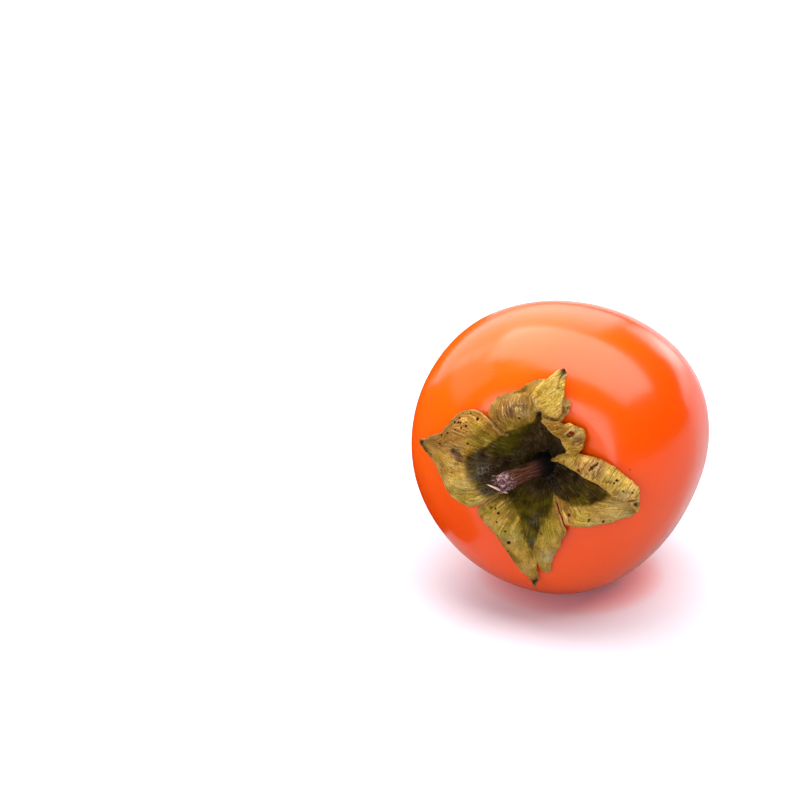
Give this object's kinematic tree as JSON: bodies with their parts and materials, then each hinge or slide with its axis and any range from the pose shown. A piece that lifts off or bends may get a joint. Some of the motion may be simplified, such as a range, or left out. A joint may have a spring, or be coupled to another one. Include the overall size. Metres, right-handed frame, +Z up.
{
  "type": "persimmon",
  "caption": "Ripe persimmon lying on its side on a small flat spot, with a dried lobed calyx, a stub of stem and a dry blossom tip.",
  "frame": {"origin": "middle of the small flat spot that the fruit rests on", "axes": "+Z up from the resting surface. The fruit's own axis lies along -Y at the calyx end, turned 13.5 degrees towards -X and raised 12.2 degrees; the blossom end points the other way"},
  "size_m": [0.0757, 0.0853, 0.0736],
  "materials": {
    "skin": "smooth waxy orange fruit skin, glossy",
    "dry_calyx": "dry leaf, olive and tan with fine veins and dark specks, dull",
    "stem": "dry red-brown stalk with a torn fibrous end, rough",
    "tip": "shrivelled black-brown tip, dull"
  },
  "bodies": {
    "root": {"fruit_body": "skin", "calyx": "dry_calyx", "stem_stub": "stem", "blossom_tip": "tip"}
  },
  "joints": []
}
